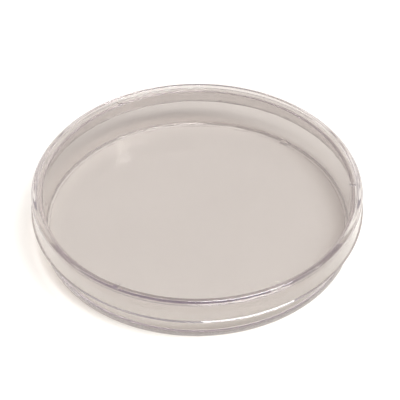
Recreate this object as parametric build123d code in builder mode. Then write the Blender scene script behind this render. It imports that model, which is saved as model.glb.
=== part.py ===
from build123d import *
import os

# A vented plastic petri dish: a shallow round dish, and the lid that rests over it.
# +Z is up and is the dish's axis. The origin is the centre of the plane it stands on.
# All sizes are in millimetres.

os.makedirs("parts", exist_ok=True)

# --- the closed dish ---
total_height = 15.0
lid_radius = 46.5  # at the lid's shoulder, where its top turns down into the skirt

# --- dish: floor, foot and wall ---
foot_radius = 44.25
foot_height = 0.95
foot_width = 1.9  # the ring the dish stands on
foot_round = 0.25
underside_recess = 0.2  # the floor's underside stands this far above the foot
floor_thickness = 1.0
wall_thickness = 1.0
wall_base_radius = 43.95  # outside, just above the foot
wall_rim_radius = 44.5  # outside, just below the rim
floor_corner_round = 0.9  # inside, between floor and wall
rim_height = 13.0
rim_round = 0.42
ledge_drop = 0.55  # the foot's top slopes in to the wall over this height

# --- lid: plate, stacking ring and skirt ---
ring_height = 0.7  # the stacking ring stands this far above the plate
plate_thickness = 1.0
ring_inner_radius = 44.6  # at the plate, so that a foot of another dish drops inside
ring_inner_slope = 0.2  # the ring's inner side leans outward by this much
ring_top_radius = 45.75  # where the ring's flat top ends and its outer slope starts
shoulder_drop = 0.95  # from the ring's top to the shoulder
groove_depth = 0.18  # the skirt steps in below the shoulder
groove_drop = 0.35
skirt_length = 7.3
skirt_thickness = 1.0
bead_radius = 46.85  # outside of the bead along the skirt's lower edge
bead_height = 0.6
bead_depth = 0.29
bead_slope = 0.2  # the bead's upper side slopes down by this much
bead_round = 0.25
ring_inner_round = 0.2
ring_outer_round = 1.1
shoulder_round = 0.3
lid_corner_round = 0.5  # inside, between plate and skirt

# --- vent nibs, which hold the lid off the dish's rim ---
nib_count = 3
nib_first_angle = 1.4
nib_length = 1.6  # along the radius, at the nib's tip
nib_width = 0.9
nib_middle_radius = 43.9
nib_draft = 20.0  # degrees by which a nib widens towards the plate

# --- moulding marks ---
tab_angle = -61.5
tab_length = 3.8  # along the rim
tab_width = 1.5
tab_height = 0.2
tab_middle_radius = 43.6
gate_angle = 52.0
gate_width = 2.6
gate_depth = 1.1
gate_height = 0.5

# heights that follow from these
foot_inner_radius = foot_radius - foot_width
ledge_height = foot_height + ledge_drop
floor_top = underside_recess + floor_thickness
plate_top = total_height - ring_height
plate_under = plate_top - plate_thickness
nib_height = plate_under - rim_height
shoulder_height = total_height - shoulder_drop
groove_height = shoulder_height - groove_drop
skirt_bottom = total_height - skirt_length
bead_top = skirt_bottom + bead_height
skirt_inner_radius = lid_radius - groove_depth - skirt_thickness


def round_corner(section, across, up, radius):
    """Rounds the section's corner that lies nearest to the place given."""
    fillet(section.vertices().sort_by_distance((across, up, 0))[0], radius)


def at_angle(radius, angle, height):
    """A plane facing up, with its X axis along the radius, at a place given by its angle."""
    spot = Vector(radius, 0, 0).rotate(Axis.Z, angle)
    return Plane(origin=(spot.X, spot.Y, height), x_dir=spot.normalized(), z_dir=(0, 0, 1))


# The dish: half its section, turned about the axis.
with BuildPart() as base:
    with BuildSketch(Plane.XZ) as base_section:
        with BuildLine():
            Polyline(
                (0, underside_recess),
                (foot_inner_radius - underside_recess, underside_recess),
                (foot_inner_radius, 0),
                (foot_radius, 0),
                (foot_radius, foot_height),
                (wall_base_radius, ledge_height),
                (wall_rim_radius, rim_height),
                (wall_rim_radius - wall_thickness, rim_height),
                (wall_base_radius - wall_thickness, floor_top),
                (0, floor_top),
                close=True,
            )
        make_face()
        round_corner(base_section, foot_radius, 0, foot_round)
        round_corner(base_section, foot_radius, foot_height, foot_round)
        round_corner(base_section, wall_rim_radius, rim_height, rim_round)
        round_corner(base_section, wall_rim_radius - wall_thickness, rim_height, rim_round)
        round_corner(base_section, wall_base_radius - wall_thickness, floor_top, floor_corner_round)
    revolve(axis=Axis.Z)
    # the scar of the moulding gate, in the corner between floor and wall
    with BuildSketch(at_angle(wall_base_radius - wall_thickness - gate_depth / 2, gate_angle, floor_top)):
        RectangleRounded(gate_depth, gate_width, gate_depth / 3)
    extrude(amount=gate_height)

base.part.label = "base"
export_step(base.part, "parts/base.step")

# The lid: plate, raised stacking ring and flared skirt, turned about the axis.
with BuildPart() as lid:
    with BuildSketch(Plane.XZ) as lid_section:
        with BuildLine():
            Polyline(
                (0, plate_top),
                (ring_inner_radius, plate_top),
                (ring_inner_radius + ring_inner_slope, total_height),
                (ring_top_radius, total_height),
                (lid_radius, shoulder_height),
                (lid_radius - groove_depth, groove_height),
                (bead_radius - bead_depth, bead_top),
                (bead_radius, bead_top - bead_slope),
                (bead_radius, skirt_bottom),
                (bead_radius - skirt_thickness, skirt_bottom),
                (skirt_inner_radius, plate_under),
                (0, plate_under),
                close=True,
            )
        make_face()
        round_corner(lid_section, ring_inner_radius + ring_inner_slope, total_height, ring_inner_round)
        round_corner(lid_section, ring_top_radius, total_height, ring_outer_round)
        round_corner(lid_section, lid_radius, shoulder_height, shoulder_round)
        round_corner(lid_section, lid_radius - groove_depth, groove_height, shoulder_round)
        round_corner(lid_section, bead_radius, skirt_bottom, bead_round)
        round_corner(lid_section, bead_radius - skirt_thickness, skirt_bottom, bead_round)
        round_corner(lid_section, skirt_inner_radius, plate_under, lid_corner_round)
    revolve(axis=Axis.Z)
    # the vent nibs, on the plate's underside over the dish's rim
    with BuildSketch(Plane.XY.offset(rim_height)):
        with PolarLocations(nib_middle_radius, nib_count, start_angle=nib_first_angle):
            SlotOverall(nib_length, nib_width)
    extrude(amount=nib_height, taper=-nib_draft)
    # a low moulded tab between two of them
    with BuildSketch(at_angle(tab_middle_radius, tab_angle, plate_under - tab_height)):
        SlotOverall(tab_length, tab_width, rotation=90)
    extrude(amount=tab_height)

lid.part.label = "lid"
export_step(lid.part, "parts/lid.step")
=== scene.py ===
import math

import bpy
from mathutils import Matrix, Vector


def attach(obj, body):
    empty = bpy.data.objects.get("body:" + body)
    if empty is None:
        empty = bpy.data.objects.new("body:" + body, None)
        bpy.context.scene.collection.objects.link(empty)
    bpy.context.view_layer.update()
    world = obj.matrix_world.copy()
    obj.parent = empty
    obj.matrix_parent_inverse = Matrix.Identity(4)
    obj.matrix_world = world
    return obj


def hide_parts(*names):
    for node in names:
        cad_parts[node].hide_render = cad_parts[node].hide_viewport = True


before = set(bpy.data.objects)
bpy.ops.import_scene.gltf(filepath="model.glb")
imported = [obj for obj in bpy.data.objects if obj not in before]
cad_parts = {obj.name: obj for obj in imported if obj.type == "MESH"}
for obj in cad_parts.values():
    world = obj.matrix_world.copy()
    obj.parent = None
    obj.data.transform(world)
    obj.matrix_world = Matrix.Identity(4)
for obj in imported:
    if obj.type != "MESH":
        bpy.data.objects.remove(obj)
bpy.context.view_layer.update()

MM = 0.001

# ---- the two mouldings ----
# Clear plastic shows every flat step of a mesh as a broken line of light, so each moulding is turned
# again, in finer steps, from the outline of its own CAD mesh. The shape and the size stay the same.
TURN_STEPS = 480
SAME_PLACE = 1e-7          # metres
SHARP_CORNER = 20          # degrees
CUTS_APART = 0.001         # radians, between a feature's own cuts and the even ones
FEATURE_STEPS = 8          # across each half of a small moulded feature
FEATURE_RAMP = 0.5         # the share of each half over which it rises
FEATURE_REACH = 0.95 * MM  # how far from its level a feature still moves the skin

# The small moulded features, as in the CAD: (angle, middle radius, length along the radius, width, height).
# They stand out from the skin by their height, as low soft swellings.
NIBS = [(1.4 + 120 * i, 43.9 * MM, 2.0 * MM, 1.3 * MM, 0.3 * MM) for i in range(3)]
TAB = (-61.5, 43.6 * MM, 1.6 * MM, 3.9 * MM, 0.2 * MM)
GATE_MARK = (52, 42.35 * MM, 1.2 * MM, 2.9 * MM, 0.45 * MM)
PLATE_UNDERSIDE = 13.3 * MM
FLOOR_TOP = 1.2 * MM


def outline(node):
    """The section that the CAD turned: its mesh edges on y = 0, x > 0, in order, closed on the axis."""
    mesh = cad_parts[node].data
    neighbours = {}
    for edge in mesh.edges:
        ends = [mesh.vertices[i].co for i in edge.vertices]
        if all(abs(p.y) < SAME_PLACE and p.x > 0 for p in ends):
            a, b = [(round(p.x, 7), round(p.z, 7)) for p in ends]
            if a != b:
                neighbours.setdefault(a, set()).add(b)
                neighbours.setdefault(b, set()).add(a)
    ends = sorted((p for p in neighbours if len(neighbours[p]) == 1), key=lambda p: p[1])
    line = [ends[0]]
    while line[-1] != ends[1]:
        line.append(next(p for p in neighbours[line[-1]] if p not in line[-2:]))
    return [(0.0, line[0][1])] + line + [(0.0, line[-1][1])]


def with_rings(line, height, radii):
    """The outline with more points where it runs level at a height, at the radii given."""
    made = []
    for (r0, z0), (r1, z1) in zip(line, line[1:]):
        made.append((r0, z0))
        if abs(z0 - height) < SAME_PLACE and abs(z1 - height) < SAME_PLACE:
            between = [r for r in radii if min(r0, r1) + SAME_PLACE < r < max(r0, r1) - SAME_PLACE]
            made += [(r, z0) for r in sorted(set(between), reverse=r0 > r1)]
    return made + [line[-1]]


def outline_normals(line):
    """For each stretch of the outline, the outward normals at its two ends."""
    flat, length = [], []
    for (r0, z0), (r1, z1) in zip(line, line[1:]):
        run = Vector((r1 - r0, z1 - z0))
        length.append(run.length)
        flat.append(Vector((run.y, -run.x)).normalized())
    at_start, at_end = list(flat), list(flat)
    for i in range(1, len(flat)):
        if math.degrees(flat[i - 1].angle(flat[i])) > SHARP_CORNER:
            continue
        if length[i - 1] > 2 * length[i]:
            shared = flat[i - 1]      # a straight stretch meets a rounding
        elif length[i] > 2 * length[i - 1]:
            shared = flat[i]
        else:
            shared = (flat[i - 1] + flat[i]).normalized()
        at_end[i - 1] = at_start[i] = shared
    return list(zip(at_start, at_end))


def feature_grid(feature):
    """The angles (radians) and the radii (metres) at which a feature's swelling is cut."""
    angle, middle, length, width, _ = feature
    steps = [i / FEATURE_STEPS for i in range(-FEATURE_STEPS, FEATURE_STEPS + 1)]
    angles = [math.radians(angle) + s * width / 2 / middle for s in steps]
    return angles, [round(middle + s * length / 2, 7) for s in steps]


def swell(offset, half):
    """1 over most of the feature, falling smoothly to 0 at its edge."""
    t = min(max((1 - abs(offset) / half) / FEATURE_RAMP, 0), 1)
    return t * t * (3 - 2 * t)


def cuts(features):
    """The angles and the radii at which a moulding's skin is cut, its features' own among them."""
    angles = {round(2 * math.pi * i / TURN_STEPS, 6) for i in range(TURN_STEPS)}
    radii = []
    for feature in features:
        more, rings = feature_grid(feature)
        span = [round(a % (2 * math.pi), 6) for a in more]
        angles = {a for a in angles if min(abs(a - s) for s in span) > CUTS_APART} | set(span)
        radii += rings
    return sorted(angles), radii


def lift(features, radius, angle):
    """How far the features lift the skin at a place."""
    for turn, middle, length, width, height in features:
        off = (angle - math.radians(turn) + math.pi) % (2 * math.pi) - math.pi
        amount = swell(off * middle, width / 2) * swell(radius - middle, length / 2)
        if amount > 0:
            return height * amount
    return 0


def skin_points(line, normals, angles, features, level):
    """The skin's vertices, ring by ring and then the two on the axis, and which of them a feature moved."""
    verts, moved = [], []
    for i, (r, z) in enumerate(line[1:-1]):
        out = (normals[i][1] + normals[i + 1][0]).normalized()
        near = abs(z - level) <= FEATURE_REACH
        for angle in angles:
            height = lift(features, r, angle) if near else 0
            reach = r + out.x * height
            verts.append((reach * math.cos(angle), reach * math.sin(angle), z + out.y * height))
            moved.append(height > 0)
    verts += [(0, 0, line[0][1]), (0, 0, line[-1][1])]
    return verts, moved + [False, False]


def skin_faces(line, normals, angles):
    """The skin's faces. Each corner is its vertex, the outline's normal there, and its angle."""
    count, rows = len(angles), len(line) - 2
    first = rows * count      # the vertices on the axis
    last = first + 1
    top = first - count
    faces = []
    for j in range(count):
        k = (j + 1) % count
        a, b = angles[j], angles[k]
        n0, n1 = normals[0]
        faces.append([(first, n0, a), (k, n1, b), (j, n1, a)])
        for i in range(rows - 1):
            n0, n1 = normals[i + 1]
            low, high = i * count, (i + 1) * count
            faces.append([(low + j, n0, a), (low + k, n0, b), (high + k, n1, b), (high + j, n1, a)])
        n0, n1 = normals[-1]
        faces.append([(top + j, n0, a), (top + k, n0, b), (last, n1, a)])
    return faces


def corner_normals(verts, faces, moved):
    """Each corner's normal: the outline's, turned, or the skin's own where a feature lifted it."""
    own = {}
    for face in faces:
        if any(moved[i] for i, _, _ in face):
            a, b, c = [Vector(verts[i]) for i, _, _ in face[:3]]
            across = (b - a).cross(c - b)
            for i, _, _ in face:
                own[i] = own.get(i, Vector()) + across
    made = []
    for face in faces:
        for i, normal, angle in face:
            if moved[i]:
                made.append(tuple(own[i].normalized()))
            else:
                made.append((normal.x * math.cos(angle), normal.x * math.sin(angle), normal.y))
    return made


def turned(name, line, features, level):
    """A mesh turned from the outline. Each feature lifts the skin off it, near the level given."""
    angles, radii = cuts(features)
    line = with_rings(line, level, radii)
    normals = outline_normals(line)
    verts, moved = skin_points(line, normals, angles, features, level)
    faces = skin_faces(line, normals, angles)
    mesh = bpy.data.meshes.new(name)
    mesh.from_pydata(verts, [], [[i for i, _, _ in face] for face in faces])
    mesh.validate()
    mesh.normals_split_custom_set(corner_normals(verts, faces, moved))
    obj = bpy.data.objects.new(name, mesh)
    bpy.context.collection.objects.link(obj)
    return obj


# ---- the material ----
PLASTIC_IOR = 1.59
GLOSS = 0.32               # Specular IOR Level; 0.5 is a surface with no haze on it
PLASTIC_TINT = (0.778, 0.757, 0.742)
PLASTIC_SHADE = 0.99       # the moulding's faintly darker patches, against the tint
DEPTH_TINT = (0.25, 0, 0.3)    # the mauve that light takes on as it runs along inside a wall
DEPTH_DENSITY = 6.0       # per metre
LAMP_TINT = (0.992, 0.992, 0.992)
LID_GRAZING = (0.11, 0.1, 0.08)  # a lamp's light is spread aside where it grazes the plastic,
DISH_GRAZING = (0.55, 0.5, 0.45)  # but the dish's wall leads much of it down to the table
GRAZING_RANGE = (0.25, 0.95)      # Layer Weight's facing, from face on to grazing
MIRROR_TINT = (0.8, 0.8, 0.8)
MIRROR_RISE = 4.0          # how steeply the mirroring grows towards grazing
POLISH = 0.03              # roughness of untouched plastic
WEAR = 0.03                # how much rougher it is where it's handled or scuffed
WAVE_DEPTH = 0.02 * MM     # slow waves in the skin
RING_DEPTH = 0.005 * MM    # fine rings left by the turned mould
# noise scales, in patches per metre
CLOUD_SCALE = 45
HANDLED_SCALE = 60
SCUFF_SCALE = 160
WAVE_SCALE = 90
RING_SCALE = 900
SCUFF_TURN = 0.6           # radians
SCUFF_STRETCH = 14         # scuffs are this much longer than they are wide


def node(tree, kind, **values):
    made = tree.nodes.new(kind)
    for name, value in values.items():
        setattr(made, name, value)
    return made


def plug(tree, socket, value):
    """Gives a socket a number, or another node's output."""
    if isinstance(value, bpy.types.NodeSocket):
        tree.links.new(value, socket)
    else:
        socket.default_value = value


def noise(tree, vector, scale, detail=2.0, roughness=0.5):
    made = node(tree, "ShaderNodeTexNoise")
    for name, value in (("Vector", vector), ("Scale", scale), ("Detail", detail), ("Roughness", roughness)):
        plug(tree, made.inputs[name], value)
    return made.outputs[0]


def ranged(tree, value, low, high, to_low, to_high):
    made = node(tree, "ShaderNodeMapRange", interpolation_type="SMOOTHSTEP")
    sockets = ("Value", "From Min", "From Max", "To Min", "To Max")
    for name, number in zip(sockets, (value, low, high, to_low, to_high)):
        plug(tree, made.inputs[name], number)
    return made.outputs[0]


def maths(tree, operation, first, second=0.0):
    made = node(tree, "ShaderNodeMath", operation=operation)
    plug(tree, made.inputs[0], first)
    plug(tree, made.inputs[1], second)
    return made.outputs[0]


def bumped(tree, height, distance, below=None):
    made = node(tree, "ShaderNodeBump")
    plug(tree, made.inputs["Height"], height)
    plug(tree, made.inputs["Distance"], distance)
    if below is not None:
        plug(tree, made.inputs["Normal"], below)
    return made.outputs[0]


def two_colours(tree, share, first, second, label):
    made = node(tree, "ShaderNodeMix", data_type="RGBA", label=label)
    plug(tree, made.inputs[0], share)
    made.inputs[6].default_value = (*first, 1)
    made.inputs[7].default_value = (*second, 1)
    return made.outputs[2]


def lets_lamps_through(tree, surface, grazing_tint):
    """The plastic as rays from lamps and off the table meet it, so that the table stays lit.

    They pass straight on, tinted. Rays off the table are mirrored too where they graze the plastic,
    because its walls throw light down on the table beside them.
    """
    facing = node(tree, "ShaderNodeLayerWeight")
    facing.inputs["Blend"].default_value = 0.5
    grazing = ranged(tree, facing.outputs["Facing"], *GRAZING_RANGE, 0, 1)
    clear = node(tree, "ShaderNodeBsdfTransparent")
    plug(tree, clear.inputs["Color"], two_colours(tree, grazing, LAMP_TINT, grazing_tint, "grazing"))
    mirrored = maths(tree, "POWER", facing.outputs["Facing"], MIRROR_RISE)
    mirror = node(tree, "ShaderNodeBsdfAnisotropic")
    mirror.inputs["Roughness"].default_value = POLISH
    plug(tree, mirror.inputs["Color"], two_colours(tree, mirrored, (0, 0, 0), MIRROR_TINT, "mirror"))
    both = node(tree, "ShaderNodeAddShader")
    tree.links.new(clear.outputs[0], both.inputs[0])
    tree.links.new(mirror.outputs[0], both.inputs[1])
    path = node(tree, "ShaderNodeLightPath")
    for kind, seen in (("Is Diffuse Ray", both), ("Is Shadow Ray", clear)):
        mix = node(tree, "ShaderNodeMixShader")
        tree.links.new(path.outputs[kind], mix.inputs[0])
        tree.links.new(surface, mix.inputs[1])
        tree.links.new(seen.outputs[0], mix.inputs[2])
        surface = mix.outputs[0]
    return surface


def clouded_colour(tree, place):
    """Faint cloudy patches from the melt's flow."""
    cloud = ranged(tree, noise(tree, place, CLOUD_SCALE, 3), 0.35, 0.65, 0, 1)
    shade = [c * PLASTIC_SHADE for c in PLASTIC_TINT]
    return two_colours(tree, cloud, PLASTIC_TINT, shade, "colour")


def worn_roughness(tree, place):
    """Polished, with patches dulled by handling and a few fine scuffs."""
    worn = noise(tree, place, HANDLED_SCALE, 4, 0.6)
    handled = ranged(tree, worn, 0.45, 0.75, POLISH, POLISH + WEAR)
    drawn_out = node(tree, "ShaderNodeMapping")
    tree.links.new(place, drawn_out.inputs["Vector"])
    drawn_out.inputs["Rotation"].default_value = (0, 0, SCUFF_TURN)
    drawn_out.inputs["Scale"].default_value = (1, SCUFF_STRETCH, 1)
    scratched = noise(tree, drawn_out.outputs[0], SCUFF_SCALE, 2, 0.6)
    scuffs = ranged(tree, scratched, 0.66, 0.72, 0, WEAR)
    return maths(tree, "ADD", handled, scuffs)


def moulded_relief(tree, here, place):
    """Slow waves in the skin, and fine rings left by the turned mould."""
    apart = node(tree, "ShaderNodeSeparateXYZ")
    tree.links.new(here, apart.inputs[0])
    x, y, z = apart.outputs
    squares = maths(tree, "ADD", maths(tree, "MULTIPLY", x, x), maths(tree, "MULTIPLY", y, y))
    ring_place = node(tree, "ShaderNodeCombineXYZ")
    plug(tree, ring_place.inputs[0], maths(tree, "SQRT", squares))
    plug(tree, ring_place.inputs[1], maths(tree, "MULTIPLY", z, 2.0))
    waves = bumped(tree, noise(tree, place, WAVE_SCALE, 2), WAVE_DEPTH)
    return bumped(tree, noise(tree, ring_place.outputs[0], RING_SCALE, 2), RING_DEPTH, waves)


def polystyrene(name, shift, grazing_tint):
    """Clear moulded polystyrene. `shift` (metres) moves its marks, so that two mouldings differ."""
    mat = bpy.data.materials.new(name)
    mat.use_nodes = True
    tree = mat.node_tree
    tree.nodes.clear()
    out = node(tree, "ShaderNodeOutputMaterial")
    plastic = node(tree, "ShaderNodeBsdfPrincipled")
    here = node(tree, "ShaderNodeTexCoord").outputs["Object"]
    moved = node(tree, "ShaderNodeVectorMath", operation="ADD")
    tree.links.new(here, moved.inputs[0])
    moved.inputs[1].default_value = shift
    place = moved.outputs[0]

    tree.links.new(clouded_colour(tree, place), plastic.inputs["Base Color"])
    tree.links.new(worn_roughness(tree, place), plastic.inputs["Roughness"])
    tree.links.new(moulded_relief(tree, here, place), plastic.inputs["Normal"])
    plastic.inputs["Transmission Weight"].default_value = 1
    plastic.inputs["IOR"].default_value = PLASTIC_IOR
    plastic.inputs["Specular IOR Level"].default_value = GLOSS
    tree.links.new(lets_lamps_through(tree, plastic.outputs[0], grazing_tint), out.inputs["Surface"])

    # light that runs along inside a wall is dimmed on its way
    depth = node(tree, "ShaderNodeVolumeAbsorption")
    depth.inputs["Color"].default_value = (*DEPTH_TINT, 1)
    depth.inputs["Density"].default_value = DEPTH_DENSITY
    tree.links.new(depth.outputs[0], out.inputs["Volume"])
    return mat


# ---- the table ----
TABLE_SIZE = 8
TABLE_COLOUR = (0.864, 0.852, 0.8)
TABLE_ROUGHNESS = 0.8


def pale_table():
    """A plain, faintly warm table top."""
    mat = bpy.data.materials.new("pale_floor")
    mat.use_nodes = True
    shader = mat.node_tree.nodes["Principled BSDF"]
    shader.inputs["Base Color"].default_value = (*TABLE_COLOUR, 1)
    shader.inputs["Roughness"].default_value = TABLE_ROUGHNESS
    bpy.ops.mesh.primitive_plane_add(size=TABLE_SIZE)
    table = bpy.context.object
    table.name = "floor"
    table.data.materials.append(mat)


# ---- the light ----
KEY_PLACE = (0.79, -0.76, 2.25)
KEY_SIZE = (2.05, 1.05)    # along X, and across it
KEY_POWER = 77.5             # watts
SKY_COLOUR = (1, 0.93, 0.98)
SKY_STRENGTH = 0.5


def key_light():
    data = bpy.data.lights.new("key", "AREA")
    data.shape = "ELLIPSE"
    data.size, data.size_y = KEY_SIZE
    data.energy = KEY_POWER
    lamp = bpy.data.objects.new("key", data)
    bpy.context.collection.objects.link(lamp)
    back = Vector(KEY_PLACE).normalized()
    along = (Vector((1, 0, 0)) - back * back.x).normalized()
    turn = Matrix((along, back.cross(along), back)).transposed()
    lamp.matrix_world = Matrix.Translation(KEY_PLACE) @ turn.to_4x4()


def sky():
    world = bpy.data.worlds.new("world")
    bpy.context.scene.world = world
    world.use_nodes = True
    background = world.node_tree.nodes["Background"]
    background.inputs[0].default_value = (*SKY_COLOUR, 1)
    background.inputs[1].default_value = SKY_STRENGTH


# ---- the camera ----
VIEW_DISTANCE = 0.45
VIEW_ELEVATION = 42.2      # degrees
VIEW_ROLL = 0.13           # degrees
LENS = 142.6               # millimetres, on a sensor of the width below
SENSOR_WIDTH = 36
AIM_RIGHT, AIM_UP = 0.00082, 0.00142
AIM_HEIGHT = 0.007


def camera():
    elevation = math.radians(VIEW_ELEVATION)
    forward = Vector((0, math.cos(elevation), -math.sin(elevation)))
    up = Vector((0, math.sin(elevation), math.cos(elevation)))
    aim = Vector((AIM_RIGHT, 0, AIM_HEIGHT)) + up * AIM_UP
    data = bpy.data.cameras.new("camera")
    data.lens = LENS
    data.sensor_width = SENSOR_WIDTH
    data.clip_start = 0.01
    made = bpy.data.objects.new("camera", data)
    bpy.context.collection.objects.link(made)
    turn = forward.to_track_quat("-Z", "Y").to_matrix().to_4x4()
    roll = Matrix.Rotation(math.radians(-VIEW_ROLL), 4, "Z")
    made.matrix_world = Matrix.Translation(aim - forward * VIEW_DISTANCE) @ turn @ roll
    bpy.context.scene.camera = made


BOUNCES = 128
CLEAR_BOUNCES = 64         # through the plastic as lamps see it
BRIGHTEST_BOUNCE = 40


def for_clear_plastic():
    """Enough bounces for light that the plates lead along inside, and plain display of colours."""
    scene = bpy.context.scene
    scene.view_settings.view_transform = "Standard"
    scene.cycles.sample_clamp_indirect = BRIGHTEST_BOUNCE
    scene.cycles.max_bounces = BOUNCES
    scene.cycles.transmission_bounces = BOUNCES
    scene.cycles.glossy_bounces = BOUNCES
    scene.cycles.transparent_max_bounces = CLEAR_BOUNCES


# Moving each moulding's marks by its own distance (metres) makes the two differ.
DISH_SHIFT = (0.2, 0.1, 0.3)
LID_SHIFT = (0.5, 0.7, 0.1)

dish = turned("dish_moulding", outline("base"), [GATE_MARK], FLOOR_TOP)
lid = turned("lid_moulding", outline("lid"), NIBS + [TAB], PLATE_UNDERSIDE)
for piece, cad_node, body, shift, grazing_tint in (
    (dish, "base", "dish", DISH_SHIFT, DISH_GRAZING),
    (lid, "lid", "cover", LID_SHIFT, LID_GRAZING),
):
    piece.data.materials.append(polystyrene(f"clear_polystyrene_{body}", shift, grazing_tint))
    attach(piece, body)
    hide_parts(cad_node)

pale_table()
key_light()
sky()
camera()
for_clear_plastic()
